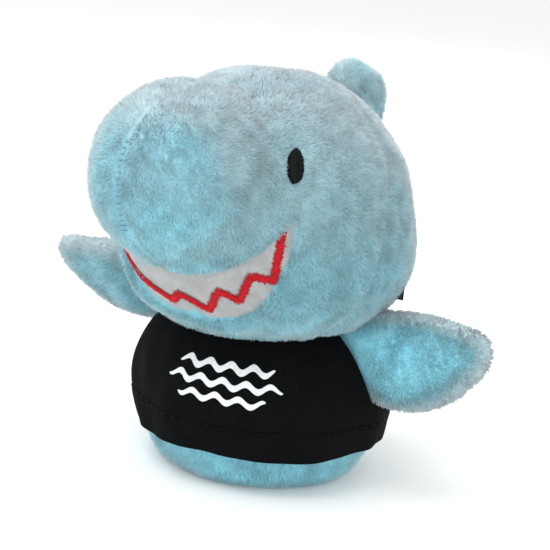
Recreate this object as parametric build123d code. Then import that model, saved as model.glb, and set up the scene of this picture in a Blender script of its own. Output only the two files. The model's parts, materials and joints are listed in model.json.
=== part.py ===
from build123d import *
from math import cos, radians, sin, sqrt, tan
import os

# A small stuffed shark in a knit shirt. Millimetres, +Z up, origin at the centre of the flat base.
# The chest faces -Y and the shark's own left side is +X.

# Cloth and clearances
plush_thick = 2.6
felt_inset = 0.6
seam_slack = 0.15
body_gap = 0.4
swing_gap = 1.5

# Body, a barrel on a flat base: outside radius at each height
base_r = 24.2
low_r, low_z = 29.4, 9.5
belly_r, belly_z = 31.7, 21.0
shoulder_r, shoulder_z = 29.2, 31.5
neck_r, neck_z = 21.0, 40.0

# Pellet pouch in the bottom of the body
pouch_thick = 0.5
pouch_top_z = 13.0
pellet_r = 1.7
pellet_pitch = 4.2

# Head: three soft balls (half width, half length, half height), turned a little to the shark's right
head_rest_turn = -12.0
head_turn_range = 12.0
cranium_size, cranium_y, cranium_lift = (34.9, 34.9, 33.2), -7.0, 26.4
snout_size, snout_sink, snout_rise = (23.4, 23.1, 22.2), 5.0, 19.0
jaw_size, jaw_y, jaw_lift = (34.2, 29.0, 19.5), -1.7, 15.0
under_slope = 5.0
neck_ball_r = 9.0
ball_seam_turn = 140.0

# Head seams: where the mouth corners sit and how far its edges dip below straight ahead
mouth_corner_azimuth, mouth_corner_rise = 50.0, 0.0
mouth_upper_dip = 43.0
mouth_lower_dip = 82.0
chin_back_dip = 112.0
back_seam_back, back_seam_up = 5.5, 13.6
back_seam_lean = 15.0

# Embroidery
thread_thick = 0.6
eye_azimuth, eye_rise = 51.0, 26.0
eye_wide, eye_tall = 3.9, 8.6
tooth_width = 1.5
tooth_marks = [(-46, -2), (-43, -18), (-38, -16), (-22, -33), (-18, -26), (0, -34), (6, -28),
               (21, -34), (25, -24), (35, -27), (38, -16), (44, -18), (46, -2)]
stitch_count, stitch_first, stitch_last = 16, -32.0, 26.0
stitch_long, stitch_wide = 1.2, 0.45

# Sewn-in label, blank
label_wide, label_out, label_thick = 5.0, 1.8, 0.5
label_azimuth, label_rise = 115.0, -10.0

# Dorsal fin, sewn to the head's back: chord, height and thickness
dorsal_lean = 48.0
dorsal_chord, dorsal_height, dorsal_thick = 15.5, 14.5, 10.0
dorsal_skin, dorsal_round, dorsal_slope = 1.2, 5.5, 1.5

# Side fins: outline in the fin's own plane, as distance from the body's axis and height
fin_thick, fin_skin = 7.0, 1.2
fin_root_r, fin_tip_r, fin_belly_r = 20.0, 62.4, 46.0
fin_above, fin_below, fin_tip_tall = 15.1, 9.0, 9.6
fin_round = 5.0
fin_root_gap = 2.4
fin_forward = 4.6
fin_pitch = {"left": 0.0, "right": 35.0}
fin_lift = {"left": 0.0, "right": 5.0}

# Shirt
shirt_gap, shirt_thick = 0.2, 0.6
hem_z, collar_drop = 9.8, 1.4
armhole_half_height, armhole_half_width = 13.5, 6.6
hem_stitch_z, hem_stitch_count = 17.3, 64
hem_stitch_long, hem_stitch_thick = 2.2, 0.3
print_wide, print_tall, print_z, print_azimuth = 29.0, 12.0, 28.0, 11.0
print_thick, print_gap = 0.2, 0.05

far = 120.0
os.makedirs("parts", exist_ok=True)


def write(name, shape):
    whole = Compound(children=list(shape)) if isinstance(shape, list) else shape
    export_step(whole, f"parts/{name}.step")


def block_x(low, high):
    return Pos((low + high) / 2, 0, 0) * Box(high - low, 2 * far, 4 * far)


def slab_z(low, high):
    return Pos(0, 0, (low + high) / 2) * Box(2 * far, 2 * far, high - low)


def wedge(corner_y, corner_z, dip_a, dip_b):
    """A wedge across the head, its edge on the given corner line, between two dips below straight ahead."""
    a, m, b = (radians(dip) for dip in (dip_a, (dip_a + dip_b) / 2, dip_b))
    points = [(corner_y, corner_z)]
    points += [(corner_y - far * cos(angle), corner_z - far * sin(angle)) for angle in (a, m, b)]
    return extrude(Plane.YZ * make_face(Polyline(*points, close=True)), far, both=True)


# Body
def body_form(inset, low, high):
    curve = Spline((base_r - inset, 0), (low_r - inset, low_z), (belly_r - inset, belly_z),
                   (shoulder_r - inset, shoulder_z), (neck_r - inset, neck_z))
    outline = curve + Polyline((neck_r - inset, neck_z), (0, neck_z), (0, 0), (base_r - inset, 0))
    return revolve(Plane.XZ * make_face(outline), Axis.Z) & slab_z(low, high)


body_top = neck_z - body_gap / 2
base_panel = body_form(0, 0, plush_thick)
body_shell = body_form(0, plush_thick, body_top) - body_form(plush_thick, 0, neck_z)
front_half = Pos(0, -far / 2, 0) * Box(2 * far, far, 4 * far)
write("base_panel", base_panel)
write("body_front_panel", body_shell & front_half)
write("body_back_panel", body_shell - front_half)

inner = plush_thick + seam_slack
pouch_low = plush_thick + seam_slack
pouch = body_form(inner, pouch_low, pouch_top_z)
pouch_room = body_form(inner + pouch_thick, pouch_low + pouch_thick, pouch_top_z - pouch_thick)
write("pellet_pouch", pouch - pouch_room)

neck_ball = Pos(0, 0, neck_z) * Sphere(neck_ball_r)
neck_socket = Pos(0, 0, neck_z) * Sphere(neck_ball_r + body_gap)
body_filling = body_form(inner, pouch_top_z + seam_slack, body_top)
write("body_filling", body_filling - neck_socket)
write("neck_filling", neck_ball)


def pellets():
    layer_step = pellet_pitch * sqrt(2 / 3)
    row_step = pellet_pitch * sqrt(3) / 2
    first_z = pouch_low + pouch_thick + pellet_r + seam_slack
    layers = int((pouch_top_z - pouch_thick - seam_slack - pellet_r - first_z) / layer_step) + 1
    room_r = base_r - inner - pouch_thick - seam_slack - pellet_r
    steps = int(room_r / row_step) + 1
    found = []
    for layer in range(layers):
        shift = (layer % 2) * pellet_pitch / 2
        for row in range(-steps, steps + 1):
            for column in range(-steps, steps + 1):
                x = column * pellet_pitch + (row % 2) * pellet_pitch / 2 + shift
                y = row * row_step + shift / sqrt(3)
                if x * x + y * y < room_r * room_r:
                    found.append(Pos(x, y, first_z + layer * layer_step) * Sphere(pellet_r))
    return Compound(children=found)


write("pellets", pellets())


# Head, made facing -Y and turned to its rest pose when written
def aim(azimuth, rise):
    """The direction at an azimuth from straight ahead towards the shark's left, and a rise."""
    flat = cos(radians(rise))
    return Vector(flat * sin(radians(azimuth)), -flat * cos(radians(azimuth)), sin(radians(rise)))


def reach(size, direction):
    """How far an ellipsoid's surface is from its centre in a direction."""
    return 1 / sqrt(sum((part / half) ** 2 for part, half in zip(direction, size)))


def ball(centre, size, grow):
    return Pos(*centre) * scale(Rot(0, 0, ball_seam_turn) * Sphere(1), by=tuple(half + grow for half in size))


cranium_at = Vector(0, cranium_y, neck_z + cranium_lift)
jaw_at = Vector(0, jaw_y, neck_z + jaw_lift)
snout_aim = aim(0, snout_rise)
snout_at = cranium_at + snout_aim * (reach(cranium_size, snout_aim) - snout_sink)


def head_form(inset):
    return (ball(cranium_at, cranium_size, -inset) + ball(jaw_at, jaw_size, -inset)
            + ball(snout_at, snout_size, -inset))


turn = Rot(0, 0, head_rest_turn)


# Side fins
fin_middle_z = shoulder_z + (fin_above - fin_below) / 2


def fin_outline(inset):
    low, high = shoulder_z - fin_below, shoulder_z + fin_above
    corners = [(fin_root_r, low), (fin_belly_r, low), (fin_tip_r, high - fin_tip_tall),
               (fin_tip_r, high), (fin_root_r, high)]
    blank = make_face(Polyline(*corners, close=True))
    middle_r = (fin_root_r + fin_belly_r) / 2
    rounded = fillet(blank.vertices().filter_by(lambda v: v.X > middle_r), fin_round)
    return offset(rounded, -inset, kind=Kind.INTERSECTION) if inset else rounded


def fin_place(side):
    """The fin's plane, spread to one side, turned forward, pitched about its long middle line and lifted."""
    mirrored = 1 if side == "left" else -1
    forward = Rot(0, 0, -mirrored * fin_forward)
    pitch = Pos(0, 0, fin_middle_z + fin_lift[side]) * Rot(fin_pitch[side], 0, 0) * Pos(0, 0, -fin_middle_z)
    return forward * pitch, mirrored


def fin_solid(side, inset, thick):
    place, mirrored = fin_place(side)
    flat = extrude(Plane.XZ * fin_outline(inset), thick / 2, both=True)
    return place * (flat if mirrored > 0 else mirror(flat, Plane.YZ))


root_gap = shirt_gap + shirt_thick + fin_root_gap
keep_out = body_form(-root_gap, 0, neck_z) + Pos(0, 0, neck_z) * Cylinder(neck_r + root_gap, neck_ball_r)
for turned in (-head_turn_range, 0, head_turn_range):
    keep_out += Rot(0, 0, turned) * turn * head_form(-swing_gap)
for side in ("left", "right"):
    place, mirrored = fin_place(side)
    outer = fin_solid(side, 0, fin_thick) - keep_out
    room = fin_solid(side, fin_skin, fin_thick - 2 * fin_skin)
    stuffing = fin_solid(side, fin_skin + seam_slack, fin_thick - 2 * fin_skin - 2 * seam_slack)
    skin = outer - room
    middle_cut = Plane(place.position, x_dir=(place * Pos(1, 0, 0)).position - place.position,
                       z_dir=(place * Pos(0, 1, 0)).position - place.position)
    write(f"{side}_fin_front_panel", split(skin, middle_cut, keep=Keep.BOTTOM))
    write(f"{side}_fin_back_panel", split(skin, middle_cut, keep=Keep.TOP))
    write(f"{side}_fin_filling", stuffing - keep_out)


# Head
def under_head():
    """Everything below the head: a shallow cone that lets the head nod on the neck."""
    edge_z = neck_z + body_gap / 2
    profile = Polyline((0, -far), (far, -far), (far, edge_z + far * tan(radians(under_slope))), (0, edge_z),
                       close=True)
    return revolve(Plane.XZ * make_face(profile), Axis.Z)


head_shell = head_form(0) - head_form(plush_thick) - under_head()
corner_aim = aim(mouth_corner_azimuth, mouth_corner_rise)
mouth_corner = cranium_at + corner_aim * reach(cranium_size, corner_aim)
mouth_wedge = wedge(mouth_corner.Y, mouth_corner.Z, mouth_upper_dip, mouth_lower_dip)
chin_wedge = wedge(mouth_corner.Y, mouth_corner.Z, mouth_lower_dip, chin_back_dip)
back_seam_at = cranium_at + Vector(0, back_seam_back, back_seam_up)
back_block = (Pos(*back_seam_at) * Rot(-back_seam_lean, 0, 0) * Pos(0, far, 0)
              * Box(2 * far, 2 * far, 4 * far))

mouth_shell = head_form(felt_inset) - head_form(plush_thick) - under_head()
write("mouth_panel", turn * (mouth_shell & mouth_wedge))
write("chin_panel", turn * (head_shell & chin_wedge))
cover = head_shell - mouth_wedge - chin_wedge
for side, half in (("left", block_x(0, far)), ("right", block_x(-far, 0))):
    write(f"head_{side}_panel", turn * ((cover - back_block) & half))
    write(f"head_back_{side}_panel", turn * (cover & back_block & half))
write("head_filling", turn * (head_form(plush_thick + seam_slack) - under_head() - neck_socket))


# Embroidery, standing on the cranium ball
over_cranium = (ball(cranium_at, cranium_size, seam_slack + thread_thick)
                - ball(cranium_at, cranium_size, seam_slack))


def eye(mirrored):
    away = aim(mirrored * eye_azimuth, eye_rise)
    across = Vector(cos(radians(eye_azimuth)), mirrored * sin(radians(eye_azimuth)), 0)
    plane = Plane(origin=cranium_at + away * reach(cranium_size, away), x_dir=across, z_dir=away)
    return extrude(plane * Ellipse(eye_wide / 2, eye_tall / 2), eye_wide, both=True) & over_cranium


write("eye_left", turn * eye(1))
write("eye_right", turn * eye(-1))

tooth_points = []
for mark in tooth_marks:
    spot = cranium_at + aim(*mark) * reach(cranium_size, aim(*mark))
    tooth_points.append((spot.X, spot.Z))
tooth_edge = offset(Polyline(*tooth_points), tooth_width / 2, kind=Kind.INTERSECTION, side=Side.BOTH)
tooth_line = make_face(tooth_edge)
tooth_reach = extrude(Pos(0, cranium_y, 0) * Plane.XZ * tooth_line, far)
write("mouth_stitching", turn * (tooth_reach & over_cranium))


def seam_stitches():
    """Short cross stitches along the snout's middle seam."""
    step = (stitch_last - stitch_first) / (stitch_count - 1)
    found = []
    for i in range(stitch_count):
        away = aim(0, stitch_first + i * step)
        where = Pos(*(snout_at + away * (reach(snout_size, away) + seam_slack + thread_thick / 2)))
        tilt = Rot(-(stitch_first + i * step), 0, 0)
        found.append(where * tilt * Box(stitch_long, thread_thick, stitch_wide))
    return Compound(children=found)


write("snout_seam_stitches", turn * seam_stitches())


# Sewn-in label behind the left cheek
label_aim = aim(label_azimuth, label_rise)
label_side = Pos(*(jaw_at + label_aim * reach(jaw_size, label_aim))) * Rot(0, 0, label_azimuth - 90)
label = label_side * Box(2 * label_out, label_thick, label_wide)
write("sewn_label", turn * (label - head_form(-seam_slack)))


# Dorsal fin
dorsal_aim = aim(180, 90 - dorsal_lean)
dorsal_base = reach(cranium_size, dorsal_aim)


def dorsal_outline(inset):
    half, root, top = dorsal_chord / 2, dorsal_base - dorsal_chord / 2, dorsal_base + dorsal_height
    corners = [(-half, root), (half, root), (half, top), (-half, top - dorsal_slope)]
    blank = make_face(Polyline(*corners, close=True))
    rounded = fillet(blank.vertices().filter_by(lambda v: v.Y > dorsal_base), dorsal_round)
    return offset(rounded, -inset, kind=Kind.INTERSECTION) if inset else rounded


dorsal_place = Pos(*cranium_at) * Rot(-dorsal_lean, 0, 0)


def dorsal_solid(inset, thick):
    return dorsal_place * extrude(Plane.YZ * dorsal_outline(inset), thick / 2, both=True)


clear_of_head = head_form(-swing_gap)
dorsal_outer = dorsal_solid(0, dorsal_thick) - clear_of_head
dorsal_cover = dorsal_outer - dorsal_solid(dorsal_skin, dorsal_thick - 2 * dorsal_skin)
dorsal_stuffing = dorsal_solid(dorsal_skin + seam_slack, dorsal_thick - 2 * dorsal_skin - 2 * seam_slack)
write("dorsal_fin_left_panel", turn * (dorsal_cover & block_x(0, far)))
write("dorsal_fin_right_panel", turn * (dorsal_cover & block_x(-far, 0)))
write("dorsal_fin_filling", turn * (dorsal_stuffing - clear_of_head))


# Shirt
def armhole(side):
    place, mirrored = fin_place(side)
    face = Plane.YZ * Pos(0, fin_middle_z) * Ellipse(armhole_half_width, armhole_half_height)
    return place * extrude(face, mirrored * far)


collar_z = neck_z - collar_drop
shirt = body_form(-shirt_gap - shirt_thick, hem_z, collar_z) - body_form(-shirt_gap, 0, neck_z)
shirt = shirt - armhole("left") - armhole("right")
write("shirt_front_panel", shirt & front_half)
write("shirt_back_panel", shirt - front_half)

print_cos, print_sin = cos(radians(print_azimuth)), sin(radians(print_azimuth))
print_plane = Plane(origin=(0, 0, print_z), x_dir=(print_cos, print_sin, 0), z_dir=(print_sin, -print_cos, 0))
print_reach = extrude(print_plane * RectangleRounded(print_wide, print_tall, print_tall / 3), far)
print_low = -shirt_gap - shirt_thick - print_gap
film = body_form(print_low - print_thick, hem_z, collar_z) - body_form(print_low, 0, neck_z)
write("chest_print", film & print_reach)


def hem_stitches():
    circle = body_form(-shirt_gap - shirt_thick, hem_stitch_z, hem_stitch_z + hem_stitch_thick).bounding_box()
    out = circle.max.X + seam_slack + hem_stitch_thick / 2
    dash = Box(hem_stitch_thick, hem_stitch_long, hem_stitch_thick)
    ring = [Rot(0, 0, 360 * i / hem_stitch_count) * Pos(out, 0, hem_stitch_z) * dash
            for i in range(hem_stitch_count)]
    return Compound(children=ring)


write("hem_stitching", hem_stitches())
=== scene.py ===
import json
import math

import bpy
import numpy as np
from mathutils import Matrix

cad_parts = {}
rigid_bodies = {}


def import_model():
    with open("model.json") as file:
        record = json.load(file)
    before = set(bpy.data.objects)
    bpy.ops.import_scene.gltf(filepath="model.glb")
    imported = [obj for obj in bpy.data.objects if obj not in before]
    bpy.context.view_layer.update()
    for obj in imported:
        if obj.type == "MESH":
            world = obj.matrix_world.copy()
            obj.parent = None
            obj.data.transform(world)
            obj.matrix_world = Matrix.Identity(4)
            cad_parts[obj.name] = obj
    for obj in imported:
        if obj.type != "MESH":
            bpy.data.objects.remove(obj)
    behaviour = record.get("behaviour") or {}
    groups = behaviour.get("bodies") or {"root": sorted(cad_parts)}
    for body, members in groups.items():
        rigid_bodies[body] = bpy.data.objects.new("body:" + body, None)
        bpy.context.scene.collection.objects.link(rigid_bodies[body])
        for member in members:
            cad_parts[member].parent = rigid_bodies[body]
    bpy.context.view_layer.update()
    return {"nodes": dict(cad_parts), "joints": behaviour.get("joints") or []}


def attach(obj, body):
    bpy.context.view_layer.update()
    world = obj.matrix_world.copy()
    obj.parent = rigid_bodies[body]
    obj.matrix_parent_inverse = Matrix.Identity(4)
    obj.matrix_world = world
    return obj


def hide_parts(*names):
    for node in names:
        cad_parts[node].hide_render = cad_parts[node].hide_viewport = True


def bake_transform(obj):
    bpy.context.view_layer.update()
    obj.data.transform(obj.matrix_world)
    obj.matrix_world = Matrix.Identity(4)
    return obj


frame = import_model()
mm = 0.001
print("frame loaded")


def unit(v):
    # each vector divided by its own length
    return v / np.maximum(np.linalg.norm(v, axis=-1, keepdims=True), 1e-12)


def ease(x, low, high):
    # 0 below low, 1 above high, and 3t^2 - 2t^3 between them
    t = np.clip((x - low) / (high - low), 0, 1)
    return t * t * (3 - 2 * t)


def turnZ(p, angle):
    # points turned about the upright axis by an angle in radians
    c, s = math.cos(angle), math.sin(angle)
    return np.stack([p[..., 0] * c - p[..., 1] * s, p[..., 0] * s + p[..., 1] * c, p[..., 2]], -1)


def aim(azimuth, rise):
    # direction at an azimuth from straight ahead (-Y) towards +X, and a rise, both in degrees
    a, e = np.radians(azimuth), np.radians(rise)
    return np.stack([np.cos(e) * np.sin(a), -np.cos(e) * np.cos(a), np.sin(e) + 0 * a], -1)


def bearing(p):
    # the azimuth and rise, in degrees, that aim() would need for each vector
    return np.degrees(np.arctan2(p[..., 0], -p[..., 1])), np.degrees(
        np.arctan2(p[..., 2], np.hypot(p[..., 0], p[..., 1])))


def swell(p, wavelength, seed, waves=18):
    # a smooth random field between about -1 and 1, and its slope: a mean of sine waves in random directions
    rng = np.random.default_rng(seed)
    k = unit(rng.normal(size=(waves, 3))) * (2 * np.pi / (wavelength * rng.uniform(0.7, 1.5, (waves, 1))))
    arg = p @ k.T + rng.uniform(0, 6.28, waves)
    gain = math.sqrt(2 / waves) * 0.8
    return np.sin(arg).sum(1) * gain, (np.cos(arg) @ k) * gain


def gridFaces(rows, cols, closed=False):
    # triangles of a rows x cols grid of points; closed joins the last column to the first
    i = np.arange(rows - 1)[:, None]
    j = np.arange(cols if closed else cols - 1)[None, :]
    a, b = i * cols + j, i * cols + (j + 1) % cols
    c, d = b + cols, a + cols
    return np.concatenate([np.stack([a, b, c], -1).reshape(-1, 3), np.stack([a, c, d], -1).reshape(-1, 3)])


def pointNormals(points, faces):
    # area-weighted mean of the normals of the faces round each point
    flat = np.cross(points[faces[:, 1]] - points[faces[:, 0]], points[faces[:, 2]] - points[faces[:, 0]])
    total = np.zeros_like(points)
    for k in range(3):
        total += np.stack([np.bincount(faces[:, k], flat[:, c], len(points)) for c in range(3)], -1)
    return unit(total)


def facing(points, faces, outward):
    # faces turned over where needed, so that their normals agree with the outward vectors at their points
    mid = points[faces].mean(1)
    flat = np.cross(points[faces[:, 1]] - points[faces[:, 0]], points[faces[:, 2]] - points[faces[:, 0]])
    out = outward[faces].mean(1) if outward.shape == points.shape else mid - outward
    wrong = (flat * out).sum(1).sum() < 0
    return faces[:, ::-1] if wrong else faces


def trimmed(points, faces):
    # only the points that the faces use, renumbered; also says which they were
    used, inverse = np.unique(faces, return_inverse=True)
    return points[used], inverse.reshape(faces.shape), used


def backed(points, faces, normals, thick):
    # a closed cloth: the sheet, its copy turned over and moved in along its normals, and a strip at the rim
    n = len(points)
    edges = np.concatenate([faces[:, [0, 1]], faces[:, [1, 2]], faces[:, [2, 0]]])
    key = np.sort(edges, 1)
    _, first, count = np.unique(key[:, 0] * n + key[:, 1], return_index=True, return_counts=True)
    rim = edges[first[count == 1]]
    a, b = rim[:, 0], rim[:, 1]
    strip = np.concatenate([np.stack([b, a, a + n], -1), np.stack([b, a + n, b + n], -1)])
    return (np.concatenate([points, points - normals * thick]),
            np.concatenate([faces, faces[:, ::-1] + n, strip]))


def joined(parts):
    # several (points, faces) lists as one
    points, faces, start = [], [], 0
    for p, f in parts:
        points.append(p)
        faces.append(f + start)
        start += len(p)
    return np.concatenate(points), np.concatenate(faces)


def newPiece(name, points, faces, materials, body, replaces=(), which=None, marks=None, uv=None,
             normals=None):
    # a mesh object in metres from points in millimetres; which is each face's material number
    mesh = bpy.data.meshes.new(name)
    mesh.vertices.add(len(points))
    mesh.vertices.foreach_set("co", (points * mm).astype(np.float32).ravel())
    mesh.loops.add(faces.size)
    mesh.loops.foreach_set("vertex_index", faces.astype(np.int32).ravel())
    mesh.polygons.add(len(faces))
    mesh.polygons.foreach_set("loop_start", np.arange(0, faces.size, 3, dtype=np.int32))
    mesh.polygons.foreach_set("use_smooth", np.ones(len(faces), bool))
    for material in materials:
        mesh.materials.append(material)
    if which is not None:
        mesh.polygons.foreach_set("material_index", which.astype(np.int32))
    mesh.update(calc_edges=True)
    for mark, values in (marks or {}).items():
        mesh.attributes.new(mark, "FLOAT", "POINT").data.foreach_set("value", values.astype(np.float32))
    if uv is not None:
        layer = mesh.uv_layers.new(name="cloth")
        layer.data.foreach_set("uv", uv[faces.ravel()].astype(np.float32).ravel())
    mesh.validate(clean_customdata=False)
    if normals is not None:
        mesh.normals_split_custom_set_from_vertices(normals.astype(np.float32))
    piece = bpy.data.objects.new(name, mesh)
    bpy.context.scene.collection.objects.link(piece)
    if body:
        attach(piece, body)
    if replaces:
        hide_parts(*replaces)
    return piece


def shade(r, g, b):
    # a display colour, 0 to 255, as the linear colour that nodes want
    c = np.array([r, g, b]) / 255
    return (*np.where(c <= 0.04045, c / 12.92, ((c + 0.055) / 1.055) ** 2.4), 1.0)


def newGroup(name, inputs, outputs):
    # an empty node group with named sockets; returns its tree and its two end nodes
    tree = bpy.data.node_groups.new(name, "ShaderNodeTree")
    for label, kind, value in inputs:
        socket = tree.interface.new_socket(name=label, in_out="INPUT", socket_type=kind)
        socket.default_value = value
    for label, kind in outputs:
        tree.interface.new_socket(name=label, in_out="OUTPUT", socket_type=kind)
    return tree, tree.nodes.new("NodeGroupInput"), tree.nodes.new("NodeGroupOutput")


def addNode(tree, kind, links=None, **settings):
    # a node with its properties set and its inputs linked or filled by name or number
    node = tree.nodes.new(kind)
    for key, value in settings.items():
        setattr(node, key, value)
    for key, value in (links or {}).items():
        if isinstance(value, bpy.types.NodeSocket):
            tree.links.new(value, node.inputs[key])
        else:
            node.inputs[key].default_value = value
    return node


def mathNode(tree, operation, a, b=0.0, clamp=False):
    # one operation on two values or sockets; returns its output
    return addNode(tree, "ShaderNodeMath", {0: a, 1: b}, operation=operation, use_clamp=clamp).outputs[0]


def mixColour(tree, factor, a, b, blend="MIX"):
    # colour a changed towards b by the factor; returns its output
    node = addNode(tree, "ShaderNodeMix", data_type="RGBA", blend_type=blend, clamp_factor=True)
    for key, value in ((0, factor), (6, a), (7, b)):
        if isinstance(value, bpy.types.NodeSocket):
            tree.links.new(value, node.inputs[key])
        else:
            node.inputs[key].default_value = value
    return node.outputs[2]


def buildPileGroup():
    # colour of a pile fibre: root to tip along Rise, a darker root as painted shade in the pile and a paler
    # tip as painted sheen; paler higher up the toy and where Vivid is below 0, as painted sheen; then
    # lighter or darker by Tone and by broad patches
    tree, start, end = newGroup("pileColour", [
        ("Rise", "NodeSocketFloat", 0.5), ("Tone", "NodeSocketFloat", 0.5),
        ("Vivid", "NodeSocketFloat", 0.0),
        ("Place", "NodeSocketVector", (0, 0, 0)), ("Root", "NodeSocketColor", (0, 0, 0, 1)),
        ("Middle", "NodeSocketColor", (0, 0, 0, 1)), ("Tip", "NodeSocketColor", (0, 0, 0, 1)),
        ("Bright", "NodeSocketColor", (0, 0, 0, 1)), ("Pale", "NodeSocketColor", (0, 0, 0, 1))],
        [("Color", "NodeSocketColor")])
    vivid = mathNode(tree, "MAXIMUM", start.outputs["Vivid"], 0.0)
    upper = addNode(tree, "ShaderNodeSeparateXYZ", {0: start.outputs["Place"]}).outputs[2]
    # painted sheen from the top light: from 56 to 94 mm up, the colour turns as much as 0.72 of the way to
    # Pale, less where Vivid is high; a Vivid below 0 paints this sheen as well
    paintedSheen = addNode(tree, "ShaderNodeMapRange", {0: upper, 1: 0.056, 2: 0.094, 4: 0.72}, clamp=True)
    paintedSheen = paintedSheen.outputs[0]
    paintedSheen = mathNode(tree, "MULTIPLY", paintedSheen, mathNode(tree, "SUBTRACT", 1.0, vivid))
    paintedSheen = mathNode(tree, "MAXIMUM", paintedSheen, mathNode(tree, "MULTIPLY", start.outputs["Vivid"], -1.0))
    # the darker Root is painted shade deep in the pile, the paler Tip is painted sheen
    low = mathNode(tree, "MULTIPLY", start.outputs["Rise"], 2.0, True)
    high = mathNode(tree, "SUBTRACT", mathNode(tree, "MULTIPLY", start.outputs["Rise"], 2.0), 1.0, True)
    middle = mixColour(tree, vivid, start.outputs["Middle"], start.outputs["Bright"])
    body = mixColour(tree, low, start.outputs["Root"], middle)
    keep = mathNode(tree, "SUBTRACT", 1.0, mathNode(tree, "MULTIPLY", vivid, 0.7))
    tip = mixColour(tree, keep, start.outputs["Bright"], start.outputs["Tip"])
    whole = mixColour(tree, paintedSheen, mixColour(tree, high, body, tip), start.outputs["Pale"])
    patch = addNode(tree, "ShaderNodeTexNoise", {
        "Vector": start.outputs["Place"], "Scale": 95.0, "Detail": 2.0})
    spread = mathNode(tree, "ADD", mathNode(tree, "MULTIPLY", start.outputs["Tone"], 0.5),
                      mathNode(tree, "MULTIPLY", patch.outputs["Fac"], 0.34))
    level = mathNode(tree, "ADD", spread, 0.6)
    grey = addNode(tree, "ShaderNodeCombineColor", {0: level, 1: level, 2: level})
    tree.links.new(mixColour(tree, 1.0, whole, grey.outputs[0], "MULTIPLY"), end.inputs["Color"])
    return tree


def buildFibreGroup():
    # felted fibre: short noise streaks over fine grain, as a mask and a height
    tree, start, end = newGroup("fibreGrain", [
        ("Place", "NodeSocketVector", (0, 0, 0)), ("Scale", "NodeSocketFloat", 1500.0)],
        [("Mask", "NodeSocketFloat"), ("Height", "NodeSocketFloat")])
    fine = addNode(tree, "ShaderNodeTexNoise", {
        "Vector": start.outputs["Place"], "Scale": start.outputs["Scale"],
        "Detail": 4.0, "Roughness": 0.7, "Distortion": 1.2})
    broad = addNode(tree, "ShaderNodeTexNoise", {
        "Vector": start.outputs["Place"], "Scale": mathNode(tree, "MULTIPLY", start.outputs["Scale"], 0.16)})
    mask = mathNode(tree, "ADD", mathNode(tree, "MULTIPLY", fine.outputs["Fac"], 0.6),
                    mathNode(tree, "MULTIPLY", broad.outputs["Fac"], 0.4))
    tree.links.new(mask, end.inputs["Mask"])
    tree.links.new(fine.outputs["Fac"], end.inputs["Height"])
    return tree


def buildKnitGroup():
    # jersey knit on a map in millimetres: columns of slanted loops, |x| shifting each row into a V
    tree, start, end = newGroup("jerseyKnit", [
        ("Map", "NodeSocketVector", (0, 0, 0)), ("Wale", "NodeSocketFloat", 0.55),
        ("Course", "NodeSocketFloat", 0.42)], [("Height", "NodeSocketFloat"), ("Loop", "NodeSocketFloat")])
    split = addNode(tree, "ShaderNodeSeparateXYZ", {0: start.outputs["Map"]})
    across = mathNode(tree, "DIVIDE", split.outputs[0], start.outputs["Wale"])
    arm = mathNode(tree, "ABSOLUTE", mathNode(tree, "SUBTRACT", mathNode(tree, "FRACT", across), 0.5))
    rows = mathNode(tree, "ADD", mathNode(tree, "DIVIDE", split.outputs[1], start.outputs["Course"]),
                    mathNode(tree, "MULTIPLY", arm, 1.3))
    wave = mathNode(tree, "SINE", mathNode(tree, "MULTIPLY", rows, math.tau))
    loop = mathNode(tree, "ADD", mathNode(tree, "MULTIPLY", wave, 0.5), 0.5)
    valley = mathNode(tree, "SUBTRACT", 1.0, mathNode(tree, "MULTIPLY", mathNode(
        tree, "ABSOLUTE", mathNode(tree, "SUBTRACT", arm, 0.25)), 3.4), True)
    tree.links.new(mathNode(tree, "MULTIPLY", loop, valley), end.inputs["Height"])
    tree.links.new(loop, end.inputs["Loop"])
    return tree


pileColour = buildPileGroup()
fibreGrain = buildFibreGroup()
jerseyKnit = buildKnitGroup()


def newMaterial(name, **sockets):
    # a Principled material with plain values on its sockets; returns the material, tree and shader
    material = bpy.data.materials.new(name)
    material.use_nodes = True
    shader = material.node_tree.nodes["Principled BSDF"]
    for key, value in sockets.items():
        shader.inputs[key.replace("_", " ")].default_value = value
    return material, material.node_tree, shader


def placedGroup(tree, group, **values):
    # a group placed in a material, its inputs linked or filled by name
    node = addNode(tree, "ShaderNodeGroup")
    node.node_tree = group
    for key, value in values.items():
        if isinstance(value, bpy.types.NodeSocket):
            tree.links.new(value, node.inputs[key])
        else:
            node.inputs[key].default_value = value
    return node


def objectPlace(tree):
    # the object's own coordinates, which stay with the cloth when it moves
    return addNode(tree, "ShaderNodeTexCoord").outputs["Object"]


def pileMaterial(name, root, middle, tip, bright, pale):
    # soft pile: coloured from root to tip by the marks on each tuft, with painted shade at the root and
    # painted sheen at the tip and high up, and the shader's own sheen
    material, tree, shader = newMaterial(name, Roughness=0.5, Sheen_Weight=0.5, Sheen_Roughness=0.4)
    shader.inputs["Sheen Tint"].default_value = (0.95, 0.97, 0.97, 1)
    shader.inputs["Specular IOR Level"].default_value = 0.5
    marks = {key: addNode(tree, "ShaderNodeAttribute", attribute_name=key).outputs["Fac"]
             for key in ("rise", "tone", "vivid")}
    colour = placedGroup(tree, pileColour, Rise=marks["rise"], Tone=marks["tone"], Vivid=marks["vivid"],
                         Place=objectPlace(tree), Root=root, Middle=middle, Tip=tip, Bright=bright,
                         Pale=pale)
    tree.links.new(colour.outputs["Color"], shader.inputs["Base Color"])
    return material


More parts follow.
